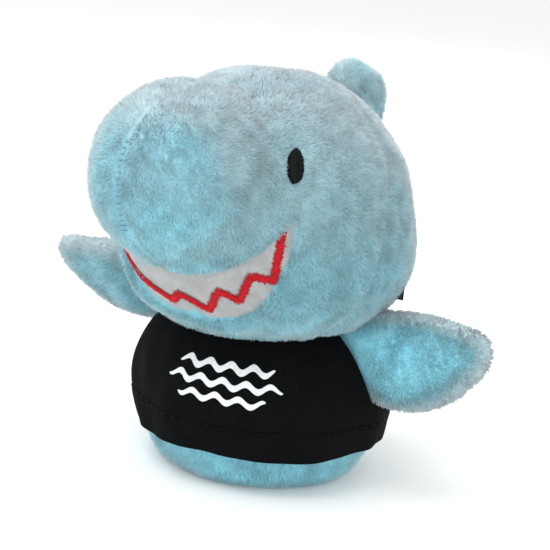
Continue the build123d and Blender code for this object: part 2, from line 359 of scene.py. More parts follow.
def feltedMaterial(name, dark, light, scale, bump, roughness=0.92, sheen=0.2):
    # cloth with a fibrous surface: two tones by the fibre mask, raised by its height
    material, tree, shader = newMaterial(name, Roughness=roughness, Sheen_Weight=sheen)
    shader.inputs["Specular IOR Level"].default_value = 0.2
    grain = placedGroup(tree, fibreGrain, Place=objectPlace(tree), Scale=scale)
    ramp = addNode(tree, "ShaderNodeMapRange", {0: grain.outputs["Mask"], 1: 0.32, 2: 0.68})
    tree.links.new(mixColour(tree, ramp.outputs[0], dark, light), shader.inputs["Base Color"])
    raised = addNode(tree, "ShaderNodeBump", {"Height": grain.outputs["Height"], "Strength": bump,
                                              "Distance": 0.0004})
    tree.links.new(raised.outputs[0], shader.inputs["Normal"])
    return material


def threadMaterial(name, dark, light, roughness, specular):
    # twisted embroidery thread: fine diagonal plies along the cloth map, with slow changes of tone
    material, tree, shader = newMaterial(name, Roughness=roughness)
    shader.inputs["Specular IOR Level"].default_value = specular
    where = addNode(tree, "ShaderNodeUVMap", uv_map="cloth").outputs[0]
    ply = addNode(tree, "ShaderNodeTexWave", {"Vector": where, "Scale": 2.2, "Distortion": 1.5},
                  wave_type="BANDS", bands_direction="DIAGONAL")
    slow = addNode(tree, "ShaderNodeTexNoise", {"Vector": objectPlace(tree), "Scale": 900.0, "Detail": 3.0})
    mask = mathNode(tree, "ADD", mathNode(tree, "MULTIPLY", ply.outputs["Fac"], 0.35),
                    mathNode(tree, "MULTIPLY", slow.outputs["Fac"], 0.65))
    ramp = addNode(tree, "ShaderNodeMapRange", {0: mask, 1: 0.25, 2: 0.75})
    tree.links.new(mixColour(tree, ramp.outputs[0], dark, light), shader.inputs["Base Color"])
    raised = addNode(tree, "ShaderNodeBump", {"Height": ply.outputs["Fac"], "Strength": 0.35,
                                              "Distance": 0.00008})
    tree.links.new(raised.outputs[0], shader.inputs["Normal"])
    return material


def knitMaterial(name, dark, light, lint):
    # the shirt: V loops of knit, pale lint specks and a slightly faded surface
    material, tree, shader = newMaterial(name, Roughness=0.9)
    shader.inputs["Specular IOR Level"].default_value = 0.05
    where = addNode(tree, "ShaderNodeUVMap", uv_map="cloth").outputs[0]
    knit = placedGroup(tree, jerseyKnit, Map=where)
    place = objectPlace(tree)
    fade = addNode(tree, "ShaderNodeTexNoise", {"Vector": place, "Scale": 130.0, "Detail": 4.0})
    speck = addNode(tree, "ShaderNodeTexNoise", {"Vector": place, "Scale": 2600.0, "Detail": 2.0})
    tone = mathNode(tree, "ADD", mathNode(tree, "MULTIPLY", knit.outputs["Loop"], 0.45),
                    mathNode(tree, "MULTIPLY", fade.outputs["Fac"], 0.55))
    colour = mixColour(tree, tone, dark, light)
    dust = addNode(tree, "ShaderNodeMapRange", {0: speck.outputs["Fac"], 1: 0.66, 2: 0.78, 4: 0.5})
    tree.links.new(mixColour(tree, dust.outputs[0], colour, lint), shader.inputs["Base Color"])
    raised = addNode(tree, "ShaderNodeBump", {"Height": knit.outputs["Height"], "Strength": 0.7,
                                              "Distance": 0.00018})
    tree.links.new(raised.outputs[0], shader.inputs["Normal"])
    return material


# pile colours: the darker root is painted shade, the greyer tip and the pale colour are painted sheen
plushPile = pileMaterial("plushPile", shade(80, 142, 156), shade(108, 168, 182), shade(162, 192, 199),
                         shade(136, 212, 230), shade(176, 192, 197))
plushBacking = feltedMaterial("plushBacking", shade(52, 122, 140), shade(84, 152, 170), 900.0, 0.6)
whiteFelt = feltedMaterial("whiteFelt", shade(138, 139, 141), shade(172, 173, 173), 1500.0, 0.5)
shirtKnit = knitMaterial("shirtKnit", shade(4, 5, 5), shade(15, 16, 18), shade(60, 62, 66))
redThread = threadMaterial("redThread", shade(150, 10, 20), shade(206, 28, 42), 0.6, 0.15)
blackThread = threadMaterial("blackThread", shade(3, 4, 5), shade(11, 13, 14), 0.4, 0.1)
blueThread = threadMaterial("blueThread", shade(62, 122, 138), shade(120, 176, 190), 0.6, 0.3)
printFilm = feltedMaterial("printFilm", shade(196, 200, 202), shade(226, 229, 230), 2200.0, 0.25, 0.55, 0.0)
labelSatin = feltedMaterial("labelSatin", shade(12, 12, 14), shade(34, 34, 38), 2600.0, 0.3, 0.5, 0.1)
fibreFill = feltedMaterial("fibreFill", shade(214, 214, 210), shade(244, 244, 240), 400.0, 0.9)
pouchCloth = feltedMaterial("pouchCloth", shade(206, 202, 190), shade(232, 229, 220), 1800.0, 0.6)
pelletPlastic = feltedMaterial("pelletPlastic", shade(222, 222, 218), shade(240, 240, 238), 700.0, 0.1, 0.4,
                               0.0)
print("materials ready")


pileLook = {
    "perSquareMm": 11.0, "length": 1.3, "lengthSpread": (0.72, 1.22),
    "width": 0.21, "widthSpread": (0.75, 1.3), "sunk": 0.25, "shortest": 0.05,
    "lean": 0.75, "clump": 0.42, "clumpSize": 2.4, "jitter": 0.24,
    "flow": 1.6, "flowSize": 22.0,                      # slow turns of the nap
    "patch": 0.22, "patchSize": 5.0, "speckle": 0.2,    # tone over patches and from tuft to tuft
    "backingTone": 0.45, "floor": 0.03,
}


def pileOn(points, faces, normals, seed, keep, comb, length=None, share=1.0):
    # tufts: three-sided spikes at random spots, each from a small triangle round its root to a tip at
    # root + length x unit(normal + comb + pull to the nearest clump + chance), pressed flat at the floor;
    # keep(p) gives 0 to 1, the share of its length that a spot's tuft keeps, and none grows below 0.05
    rng = np.random.default_rng(seed)
    corner = points[faces]
    size = np.linalg.norm(np.cross(corner[:, 1] - corner[:, 0], corner[:, 2] - corner[:, 0]), axis=1) / 2
    count = int(size.sum() * pileLook["perSquareMm"] * share)
    pick = np.searchsorted(np.cumsum(size), rng.uniform(0, size.sum(), count)).clip(0, len(faces) - 1)
    u, v = rng.uniform(size=(2, count, 1))
    fold = (u + v) > 1
    u, v = np.where(fold, 1 - u, u), np.where(fold, 1 - v, v)
    root = corner[pick, 0] * (1 - u - v) + corner[pick, 1] * u + corner[pick, 2] * v
    a, b, c = (normals[faces[pick, k]] for k in range(3))
    nrm = unit(a * (1 - u - v) + b * u + c * v)
    stay = keep(root) if keep else np.ones(count)
    ok = stay > pileLook["shortest"]
    root, nrm, stay = root[ok], nrm[ok], stay[ok]
    count = len(root)
    flow = comb(root) + swell(root, pileLook["flowSize"], 11)[1] * pileLook["flow"]
    pull = -swell(root, pileLook["clumpSize"], 12)[1] * pileLook["clumpSize"] / 6.28
    chance = rng.normal(size=(count, 3)) * pileLook["jitter"]
    side = pileLook["lean"] * flow + pileLook["clump"] * pull + chance
    side = side - nrm * (side * nrm).sum(1, keepdims=True)
    way = unit(nrm + side)
    stay = stay[:, None]
    tall = (length or pileLook["length"]) * rng.uniform(*pileLook["lengthSpread"], (count, 1)) * stay
    tip = root + way * tall
    a = unit(np.cross(nrm, rng.normal(size=(count, 3))))
    b = np.cross(nrm, a)
    wide = pileLook["width"] * rng.uniform(*pileLook["widthSpread"], (count, 1)) * (0.5 + 0.5 * stay)
    low = root - nrm * pileLook["sunk"]
    ring = [low + wide * (math.cos(t) * a + math.sin(t) * b) for t in (0, math.tau / 3, math.tau * 2 / 3)]
    around = [unit(nrm * 1.6 + (r - low) / wide + way * 0.3) for r in ring]
    spikes = np.stack(ring + [tip], 1).reshape(-1, 3)
    spikes[:, 2] = np.maximum(spikes[:, 2], pileLook["floor"])
    soft = np.stack(around + [unit(nrm + way * 0.5)], 1).reshape(-1, 3)
    quad = np.array([[0, 1, 3], [1, 2, 3], [2, 0, 3], [0, 2, 1]])
    made = (np.arange(count)[:, None, None] * 4 + quad).reshape(-1, 3)
    rise = np.tile([0.0, 0.0, 0.0, 1.0], count)
    patch = swell(root, pileLook["patchSize"], 13)[0] * pileLook["patch"]
    tone = np.repeat(np.clip(0.5 + patch + rng.normal(0, pileLook["speckle"], count), 0, 1), 4)
    return spikes, made, soft, rise, tone


def plushPiece(name, points, faces, normals, body, replaces, seed, keep, comb,
               vivid=None, thick=0.9, length=None, share=1.0):
    # a plush panel: its knitted backing as a closed cloth, with the pile standing on it
    points, faces, used = trimmed(points, faces)
    normals = normals[used]
    cloth, clothFaces = backed(points, faces, normals, thick)
    tufts, tuftFaces, soft, rise, tone = pileOn(points, faces, normals, seed, keep, comb, length, share)
    whole = np.concatenate([cloth, tufts])
    every = np.concatenate([clothFaces, tuftFaces + len(cloth)])
    hidden = len(clothFaces) - len(faces)
    which = np.concatenate([np.ones(len(faces)), np.zeros(hidden), np.ones(len(tuftFaces))])
    blank = np.full(len(cloth), pileLook["backingTone"])
    strong = vivid(whole) if vivid else np.zeros(len(whole))
    piece = newPiece(name, whole, every, [plushBacking, plushPile], body, replaces, which,
                     {"rise": np.concatenate([blank, rise]), "tone": np.concatenate([blank, tone]),
                      "vivid": strong}, None, np.concatenate([normals, -normals, soft]))
    print("  ", name, len(every), "triangles")
    return piece


nodJoint = next(j for j in frame["joints"] if j["name"] == "head_nod")
headTurn = math.atan2(nodJoint["axis"][1], nodJoint["axis"][0])
neckZ = nodJoint["pos_m"][2] / mm

headLook = {
    "middle": (0.0, -16.0, 69.0),                       # every part of the surface shows from here
    "cranium": ((0.0, -7.0, 66.4), (35.5, 36.2, 32.9)),
    "jaw": ((0.0, -1.7, 55.0), (34.0, 29.2, 18.3)),
    "snout": ((0.0, -35.2, 76.2), (22.1, 21.9, 21.0)),
    "cheekBlend": 10.0, "snoutBlend": 2.4,
    "rows": 120, "columns": 190,
    "seamDepth": 0.9, "seamWidth": 1.1,
    "lump": 0.35, "lumpSize": 17.0,
    "mouthHalf": 53.0, "upperLip": -19.0, "lowerLip": -43.0, "cornerRise": 8.0,
    "eyeAt": (52.0, 26.3), "eyeSize": (1.85, 3.8),
    "faceReach": (33.6, 33.0),                          # from the cranium's centre to its side and brow
    "backSeam": ((5.5, 13.6), 15.0), "chinDips": (82.0, 112.0),
    # on the low cheeks that turn is painted shade, away from the top light's painted sheen
    "snoutSaturation": 0.55, "cheekPaintedShade": 0.25,            # how far the colour turns to the bright blue
    "seed": 40,
}
craniumAt = np.array(headLook["cranium"][0])
snoutAt = np.array(headLook["snout"][0])

bodyLook = {"heights": (0.0, 9.5, 21.0, 31.5, 40.0), "radii": (24.2, 29.4, 31.7, 29.2, 21.0),
            "pileInset": 1.2, "rows": 70, "columns": 170, "pileTop": 13.0,
            "topRise": -0.8, "closing": 4.5, "neckPile": 37.6, "pileLength": 1.7, "seed": 60}
barrel = np.polyfit(bodyLook["heights"], bodyLook["radii"], 4)


def barrelRadius(z):
    # the body's outside radius at a height: the quartic through its five radii
    return np.polyval(barrel, np.clip(z, 0, neckZ))


def ellipsoid(p, centre, size):
    # nearly the distance to an ellipsoid: k(k - 1) / |gradient|, with k the scaled distance from its centre
    q = p - np.array(centre)
    k = np.linalg.norm(q / np.array(size), axis=-1)
    return k * (k - 1) / (np.linalg.norm(q / np.array(size) ** 2, axis=-1) + 1e-9)


def blendMin(a, b, width):
    # the smaller of two distances, rounded where they cross
    h = np.clip(0.5 + 0.5 * (b - a) / width, 0, 1)
    return b * (1 - h) + a * h - width * h * (1 - h)


def headField(p):
    # below 0 inside the head: cranium, jaw and snout melted together, with the shoulders cut away
    d = blendMin(ellipsoid(p, *headLook["cranium"]), ellipsoid(p, *headLook["jaw"]), headLook["cheekBlend"])
    d = blendMin(d, ellipsoid(p, *headLook["snout"]), headLook["snoutBlend"])
    over = barrelRadius(p[..., 2]) + 1.6 - np.hypot(p[..., 0], p[..., 1])
    shoulder = np.where(p[..., 2] > neckZ, neckZ + 0.6 - p[..., 2], over * 0.7)
    return np.maximum(d, shoulder)


def headReach(origin, ways):
    # how far along each direction the field turns positive, by halving 26 times
    low, high = np.full(len(ways), 3.0), np.full(len(ways), 75.0)
    for _ in range(26):
        mid = (low + high) / 2
        inside = headField(origin + ways * mid[:, None]) < 0
        low, high = np.where(inside, mid, low), np.where(inside, high, mid)
    return low


def lipRises(azimuth):
    # the rise of the mouth's upper and lower edges at an azimuth seen from the cranium's centre
    t = np.clip(np.abs(azimuth) / headLook["mouthHalf"], 0, 1)
    upper = headLook["upperLip"] + (headLook["cornerRise"] - headLook["upperLip"]) * t**2.6
    lower = headLook["cornerRise"] + (headLook["lowerLip"] - headLook["cornerRise"]) * np.sqrt(1 - t**4)
    return upper, lower


def mouthShare(p, margin=0.0):
    # 1 inside the mouth's crescent and 0 outside, with a soft edge; margin widens it, in degrees
    azimuth, rise = bearing(p - craniumAt)
    upper, lower = lipRises(azimuth)
    inside = np.minimum(upper + margin - rise, rise - lower + margin)
    inside = np.minimum(inside, (headLook["mouthHalf"] + margin - np.abs(azimuth)) * 0.8)
    onFace = np.linalg.norm((p - snoutAt) / np.array(headLook["snout"][1]), axis=-1) > 0.985
    return ease(inside, -0.8, 0.8) * onFace


def eyeDistance(p, side):
    # the scaled distance from an eye's centre: 1 on its oval edge
    azimuth, rise = bearing(p - craniumAt)
    reach, reachUp = headLook["faceReach"]
    eyeAzimuth, eyeRise = headLook["eyeAt"]
    across = np.radians(azimuth - side * eyeAzimuth) * reach * math.cos(math.radians(eyeRise))
    up = np.radians(rise - eyeRise) * reachUp
    return np.hypot(across / headLook["eyeSize"][0], up / headLook["eyeSize"][1])


def headSurface():
    # rows x columns of directions round the middle, each carried out to the field's surface, then dressed
    # with seam grooves, a lower lip roll, a sunk mouth and soft lumps along its normals
    theta = np.linspace(0.0, np.pi, headLook["rows"])[:, None]
    phi = np.linspace(0, 2 * np.pi, headLook["columns"], endpoint=False)[None, :]
    ways = np.stack([np.sin(theta) * np.sin(phi), -np.sin(theta) * np.cos(phi), np.cos(theta) + 0 * phi], -1)
    ways = ways.reshape(-1, 3)
    origin = np.array(headLook["middle"])
    points = origin + ways * headReach(origin, ways)[:, None]
    faces = facing(points, gridFaces(headLook["rows"], headLook["columns"], True), origin)
    normals = pointNormals(points, faces)
    groove = np.exp(-(points[:, 0] / headLook["seamWidth"]) ** 2)
    lean = math.radians(headLook["backSeam"][1])
    back, up = headLook["backSeam"][0]
    behind, above = points[:, 1] - craniumAt[1] - back, points[:, 2] - craniumAt[2] - up
    gap = behind * math.cos(lean) - above * math.sin(lean)
    groove = np.maximum(groove, 0.8 * np.exp(-(gap / headLook["seamWidth"]) ** 2))
    azimuth, rise = bearing(points - craniumAt)
    lower = lipRises(azimuth)[1]
    front = ease(headLook["mouthHalf"] + 2 - np.abs(azimuth), 0, 10)
    lip = np.exp(-((rise - lower + 5.0) / 4.0) ** 2) * front * (points[:, 2] > neckZ + 1)
    shift = (-headLook["seamDepth"] * groove + 1.1 * lip - 1.6 * mouthShare(points)
             + headLook["lump"] * swell(points, headLook["lumpSize"], 3)[0])
    shift *= ease(points[:, 2], neckZ - 2, neckZ + 4)
    points = points + normals * shift[:, None]
    return points, faces, pointNormals(points, faces), gap


def headPile(p):
    # pile length: none in the mouth and on the eyes, short where the shoulders hide it, parted at the seams
    stay = 1 - mouthShare(p, -0.2)
    for side in (-1, 1):
        stay = stay * ease(eyeDistance(p, side), 0.74, 1.1)
    part = 0.35 + 0.65 * ease(np.abs(p[:, 0]), 0.1, 1.8)
    onSnout = ease(-p[:, 1], 40, 50)
    stay = stay * (1 - onSnout * (1 - part)) * np.where((np.abs(p[:, 0]) < 0.35) & (onSnout > 0.3), 0, 1)
    hidden = (np.hypot(p[:, 0], p[:, 1]) < barrelRadius(p[:, 2]) + 2.2) & (p[:, 2] < neckZ + 1)
    clear = np.hypot(p[:, 0], p[:, 1]) - barrelRadius(p[:, 2]) - 1.6
    stay = stay * np.where(p[:, 2] < neckZ + 3, 0.45 + 0.55 * ease(clear, 1.0, 5.0), 1)
    return np.where(hidden, 0, stay)


def headVivid(p):
    # more saturated colour on the snout's front and low on the cheeks, which holds back the painted
    # top-light sheen there; on the low cheeks it is painted shade; greyer towards the back and round the
    # crease
    azimuth, rise = bearing(p - snoutAt)
    front = ease(-p[:, 1], 36, 50) * (1 - ease(np.abs(azimuth - 20), 40, 75)) * (1 - ease(rise, 25, 60))
    patch = swell(p, 16.0, 15)[0] * 0.12
    # painted shade: more saturated low on the head, away from the top light
    cheeks = 1 - ease(p[:, 2], 45, 66)
    saturated = headLook["snoutSaturation"] * front + headLook["cheekPaintedShade"] * cheeks
    return np.clip(saturated + patch, -0.25, 0.8)


def headComb(p):
    # the nap lies backwards from the snout's tip and down the cheeks, and leans away from the middle seam
    away = unit(p - np.array([0, -60.0, 84.0]))
    part = np.sign(p[:, 0]) * np.exp(-(p[:, 0] / 2.5) ** 2) * 0.9
    return away * 0.55 + np.array([0, 0, -0.75]) + np.stack([part, 0 * part, 0 * part], -1)


def makeHead():
    # the dressed surface cut into five panels by the middle plane, the back seam, the mouth and the dip
    # below its corners, with the felt's opening left out
    points, faces, normals, gap = headSurface()
    middle = points[faces].mean(1)
    corner = craniumAt + aim(headLook["mouthHalf"], headLook["cornerRise"]) * headLook["faceReach"][0]
    dip = np.degrees(np.arctan2(corner[2] - middle[:, 2], corner[1] - middle[:, 1]))
    chin = (dip > headLook["chinDips"][0]) & (dip < headLook["chinDips"][1])
    back = gap[faces].mean(1) > 0
    left = middle[:, 0] > 0
    hole = mouthShare(middle, -4.0) > 0.5
    world = turnZ(points, headTurn)
    outward = turnZ(normals, headTurn)
    panels = {
        "headLeftPanel": (~chin & ~back & left & ~hole, "head_left_panel"),
        "headRightPanel": (~chin & ~back & ~left & ~hole, "head_right_panel"),
        "headBackLeftPanel": (~chin & back & left, "head_back_left_panel"),
        "headBackRightPanel": (~chin & back & ~left, "head_back_right_panel"),
        "chinPanel": (chin & ~hole, "chin_panel"),
    }
    for i, (name, (chosen, node)) in enumerate(panels.items()):
        plushPiece(name, world, faces[chosen], outward, "head", [node], headLook["seed"] + i,
                   lambda p: headPile(turnZ(p, -headTurn)),
                   lambda p: turnZ(headComb(turnZ(p, -headTurn)), headTurn),
                   lambda p: headVivid(turnZ(p, -headTurn)))


makeHead()
print("head made")


faceLook = {
    "feltSunk": 0.95, "feltThick": 0.5, "feltRows": 44, "feltColumns": 150, "feltMargin": 2.6,
    "zigzag": [(-46, -2), (-43, -18), (-38, -16), (-24, -30), (-2, -36), (5, -31), (19, -37), (25, -25),
               (34, -29), (38, -16.5), (47, -18), (48.2, 1.5)],
    "zigzagWide": 2.1, "threadStep": 0.24, "threadThick": 0.15, "zigzagHigh": 0.42,
    "eyeStep": 0.27, "eyeThick": 0.24, "eyeHigh": 0.95, "eyeEnds": 0.93, "eyeTilt": 0.35,
    "stitchFirst": -32.0, "stitchLast": 24.0, "stitchCount": 16, "stitchLong": 1.5, "stitchThick": 0.26,
    "labelAt": (118.0, -24.5), "labelSize": (0.7, 4.4, 0.5),
    "seed": 50,
}


def onFace(azimuth, rise, lift):
    # a spot on the head's turned surface, seen from the cranium's centre, and the way out there
    ways = aim(azimuth, rise)
    flat = ways.reshape(-1, 3)
    points = craniumAt + flat * (headReach(craniumAt, flat) + lift)[:, None]
    return turnZ(points, headTurn).reshape(ways.shape), turnZ(ways, headTurn)


def threads(starts, ends, outs, thick, high, jitter, seed, sides=5, rings=6):
    # satin threads: from each start to its end, bowed out by high x sin(pi t) ^ 0.6, with a round section
    # of the given thickness that narrows towards both ends
    rng = np.random.default_rng(seed)
    count = len(starts)
    t = np.linspace(0, 1, rings)[None, :, None]
    along = unit(ends - starts)[:, None, :]
    starts = starts + along[:, 0] * rng.normal(0, jitter, (count, 1))
    ends = ends + along[:, 0] * rng.normal(0, jitter, (count, 1))
    bow = np.sin(np.pi * np.clip(t, 0.001, 0.999)) ** 0.6
    middle = starts[:, None] * (1 - t) + ends[:, None] * t + outs[:, None] * high * bow
    side = np.cross(along, outs[:, None])
    turn = np.linspace(0, 2 * np.pi, sides, endpoint=False)[None, None, :, None]
    size = thick * (0.35 + 0.65 * bow) * rng.uniform(0.85, 1.15, (count, 1, 1))
    spread = np.cos(turn) * side[:, :, None] + np.sin(turn) * outs[:, None, None]
    ring = middle[:, :, None] + size[:, :, None] * spread
    points = ring.reshape(-1, 3)
    one = gridFaces(rings, sides, True)
    last = (rings - 1) * sides
    caps = [[0, k + 1, k] for k in range(1, sides - 1)]
    caps += [[last, last + k, last + k + 1] for k in range(1, sides - 1)]
    one = np.concatenate([one, np.array(caps)])
    faces = (np.arange(count)[:, None, None] * rings * sides + one).reshape(-1, 3)
    length = np.linalg.norm(ends - starts, axis=1)[:, None, None, None]
    around = np.broadcast_to(turn / math.tau * thick * 6, ring.shape[:3] + (1,))
    uv = np.concatenate([np.broadcast_to(t[:, :, None] * length, ring.shape[:3] + (1,)), around], -1)
    middles = np.repeat(middle.reshape(-1, 3), sides, 0)
    return points, outwardFaces(points, faces, middles), uv.reshape(-1, 2)


def outwardFaces(points, faces, middles):
    # each face turned so that its normal leads away from its thread's middle line
    flat = np.cross(points[faces[:, 1]] - points[faces[:, 0]], points[faces[:, 2]] - points[faces[:, 0]])
    wrong = (flat * (points[faces].mean(1) - middles[faces].mean(1))).sum(1) < 0
    return np.where(wrong[:, None], faces[:, ::-1], faces)


def makeMouthFelt():
    # the crescent between the lips: columns by azimuth, rows from the lower edge to the upper, tucked in
    azimuth = np.linspace(-1, 1, faceLook["feltColumns"])[None, :] * (headLook["mouthHalf"] + 0.5)
    share = np.linspace(0, 1, faceLook["feltRows"])[:, None]
    upper, lower = lipRises(azimuth)
    margin = faceLook["feltMargin"]
    rise = (lower - margin) * (1 - share) + (upper + margin) * share
    points, _ = onFace(azimuth + 0 * rise, rise, -faceLook["feltSunk"])
    points = points.reshape(-1, 3)
    out = points - turnZ(craniumAt, headTurn)
    points = points + unit(out) * (0.14 * swell(points, 9.0, 21)[0])[:, None]
    faces = facing(points, gridFaces(faceLook["feltRows"], faceLook["feltColumns"]), out)
    normals = pointNormals(points, faces)
    cloth, clothFaces = backed(points, faces, normals, faceLook["feltThick"])
    piece = newPiece("mouthFelt", cloth, clothFaces, [whiteFelt], "head", ["mouth_panel"])


def makeZigzag():
    # satin stitches across a line through the zigzag's corners, one every threadStep
    corners = np.array(faceLook["zigzag"], float)
    spots, _ = onFace(corners[:, 0], corners[:, 1], 0.0)
    run = np.concatenate([[0], np.cumsum(np.linalg.norm(np.diff(spots, axis=0), axis=1))])
    at = np.arange(0, run[-1], faceLook["threadStep"])
    line, out = onFace(np.interp(at, run, corners[:, 0]), np.interp(at, run, corners[:, 1]),
                       -faceLook["feltSunk"] + 0.12)
    ahead = np.gradient(line, axis=0)
    kernel = np.ones(7) / 7
    ahead = np.pad(ahead, ((3, 3), (0, 0)), mode="edge")
    ahead = unit(np.stack([np.convolve(ahead[:, c], kernel, "valid") for c in range(3)], -1))
    across = unit(np.cross(ahead, out)) + ahead * 0.25
    half = faceLook["zigzagWide"] / 2
    points, faces, uv = threads(line - across * half, line + across * half, out, faceLook["threadThick"],
                                faceLook["zigzagHigh"], 0.2, faceLook["seed"])
    newPiece("mouthZigzag", points, faces, [redThread], "head", ["mouth_stitching"], uv=uv)


def makeEye(name, node, side):
    # a domed oval pad under satin threads laid across it, their length set by the oval
    width, height = headLook["eyeSize"]
    reach, reachUp = headLook["faceReach"]
    eyeAzimuth, eyeRise = headLook["eyeAt"]
    t = np.linspace(-faceLook["eyeEnds"], faceLook["eyeEnds"], int(2 * height / faceLook["eyeStep"]))
    half = width * np.sqrt(1 - np.abs(t) ** 2.4) + 0.1
    scaleAcross = math.degrees(1 / (reach * math.cos(math.radians(eyeRise))))
    middle = side * eyeAzimuth
    rise = eyeRise + np.degrees(t * height / reachUp)
    lean = np.degrees(faceLook["eyeTilt"] / reachUp)
    starts, outs = onFace(middle - half * scaleAcross, rise - lean, 0.1)
    ends, _ = onFace(middle + half * scaleAcross, rise + lean, 0.1)
    dome = threads(starts, ends, outs, faceLook["eyeThick"], 1.0, 0.05, faceLook["seed"] + 2, 6, 12)
    u = np.linspace(0, 1, 14)[:, None]
    v = np.linspace(0, 2 * np.pi, 40, endpoint=False)[None, :]
    padPoints, padOut = onFace(middle + u * np.cos(v) * width * scaleAcross,
                               eyeRise + np.degrees(u * np.sin(v) * height / reachUp), -0.3)
    padHigh = faceLook["eyeHigh"] * np.sqrt(1 - u**2) + 0.25
    padPoints = (padPoints + padOut * padHigh[..., None]).reshape(-1, 3)
    padFaces = facing(padPoints, gridFaces(14, 40, True), padOut.reshape(-1, 3))
    pad, padAll = backed(padPoints, padFaces, padOut.reshape(-1, 3), 0.6)
    points, faces = joined([dome[:2], (pad, padAll)])
    uv = np.concatenate([dome[2], pad[:, :2]])
    newPiece(name, points, faces, [blackThread], "head", [node], uv=uv)


def makeSnoutStitches():
    # short stitches across the snout's middle seam, each with a bowed top
    rise = np.linspace(faceLook["stitchFirst"], faceLook["stitchLast"], faceLook["stitchCount"])
    ways = aim(0 * rise, rise)
    line = snoutAt + ways * (headReach(snoutAt, ways) - 0.2)[:, None]
    across = np.broadcast_to(np.array([faceLook["stitchLong"] / 2, 0, 0.1]), line.shape)
    points, faces, uv = threads(turnZ(line - across, headTurn), turnZ(line + across, headTurn),
                                turnZ(ways, headTurn), faceLook["stitchThick"], 0.35, 0.12,
                                faceLook["seed"] + 4)
    newPiece("snoutStitches", points, faces, [blueThread], "head", ["snout_seam_stitches"],
             uv=uv)


def makeLabel():
    # a folded tab standing out of the cheek's back: a grid that curls a little, backed by its own thickness
    out, tall, thick = faceLook["labelSize"]
    u = np.linspace(-2.0, out, 14)[None, :]
    v = np.linspace(-tall / 2, tall / 2, 18)[:, None]
    spot, way = onFace(np.array([faceLook["labelAt"][0]]), np.array([faceLook["labelAt"][1]]), 0.6)
    spot, way = spot[0], unit(way[0] * np.array([1, 1, 0.2]))
    up = np.array([0.0, 0.0, 1.0])
    side = unit(np.cross(way, up))
    points = (spot + u[..., None] * way + v[..., None] * up
              + (0.12 * (u + 0 * v) ** 2 / 3 + 0.1 * np.sin(v * 1.3))[..., None] * side).reshape(-1, 3)
    faces = facing(points, gridFaces(18, 14), np.broadcast_to(side, points.shape))
    cloth, clothFaces = backed(points, faces, pointNormals(points, faces), thick)
    newPiece("sideLabel", cloth, clothFaces, [labelSatin], "head", ["sewn_label"])


makeMouthFelt()
makeZigzag()
makeEye("eyeStitchingLeft", "eye_left", 1)
makeEye("eyeStitchingRight", "eye_right", -1)
makeSnoutStitches()
makeLabel()
print("face made")


finLook = {
    # distance out from the body's axis and height, in the fin's own plane
    "outline": [(18.0, 41.0), (26.0, 44.4), (33.5, 45.6), (41.0, 46.6), (48.0, 46.7), (55.0, 46.3),
                (60.4, 45.0), (62.2, 41.5), (61.4, 37.6), (58.6, 33.8), (55.0, 29.8), (49.5, 26.0),
                (43.5, 23.6), (37.0, 22.9), (31.0, 23.8), (24.0, 25.6), (18.0, 29.0), (16.5, 35.0)],
    "middleZ": 34.55, "forward": 4.6,
    "pitch": {"left": 0.0, "right": 35.0}, "lift": {"left": 0.0, "right": 5.0},
    "length": {"left": 0.955, "right": 0.87}, "vivid": {"left": 0.95, "right": 0.4},
    "thick": 10.5, "taper": 0.35, "skin": 1.5, "dent": 0.5, "dentSize": 14.0,
    "rootFrom": 33.0, "pileFrom": 26.5, "pileLength": 1.2, "fillingFrom": 34.5, "bend": (29.0, 34.5),
    "rings": 26, "around": 150, "seed": 70,
    # towards the rim the pile turns pale as painted sheen
    "rimPoints": 260, "rimWide": 9.0, "rimPaintedSheen": 0.85, "patch": 0.16, "patchSize": 13.0,
}
dorsalLook = {
    # distance back from the neck's axis and height, in the head's middle plane
    "outline": [(15.8, 89.0), (16.7, 95.8), (19.0, 99.1), (22.6, 100.5), (25.9, 100.0), (29.4, 98.5),
                (33.0, 96.8), (34.9, 93.6), (35.4, 89.6), (34.6, 85.4), (30.6, 82.0), (24.4, 80.0),
                (18.4, 83.0)],
    "thick": 9.3, "plump": 2.8, "skin": 1.5, "fold": ((22.6, 94.7), (31.7, 88.4)), "foldDeep": 1.0,
    "foldWide": 1.3, "lean": 48.0, "pileFrom": (33.0, 34.5), "bend": (32.5, 37.0),
    "rings": 24, "around": 120, "seed": 80,
}


def smoothLoop(corners, count):
    # a closed curve through the corners: Catmull-Rom pieces, sampled evenly in their own variable
    p = np.array(corners, float)
    t = np.linspace(0, len(p), count, endpoint=False)
    i = t.astype(int)
    f = (t - i)[:, None]
    a, b, c, d = (p[(i + k) % len(p)] for k in (-1, 0, 1, 2))
    return 0.5 * (2 * b + (c - a) * f + (2 * a - 5 * b + 4 * c - d) * f**2 + (3 * b - a - 3 * c + d) * f**3)


def cushion(outline, thick, rings, around, shrink=0.0, plump=2.4):
    # half a cushion over a flat outline: rings shrunk towards the middle, raised by sqrt(1 - s ^ plump)
    loop = smoothLoop(outline, around)
    centre = loop.mean(0)
    if shrink:
        away = loop - centre
        loop = centre + away * (1 - shrink / np.linalg.norm(away, axis=1, keepdims=True))
    s = np.sin(np.linspace(0, np.pi / 2, rings))[:, None]
    flat = centre + s[..., None] * (loop - centre)[None]
    high = (thick / 2 - shrink) * np.sqrt(np.clip(1 - s**plump, 0, 1)) + 0 * flat[..., 0]
    return flat.reshape(-1, 2), high.reshape(-1), np.repeat(s[:, 0], around)


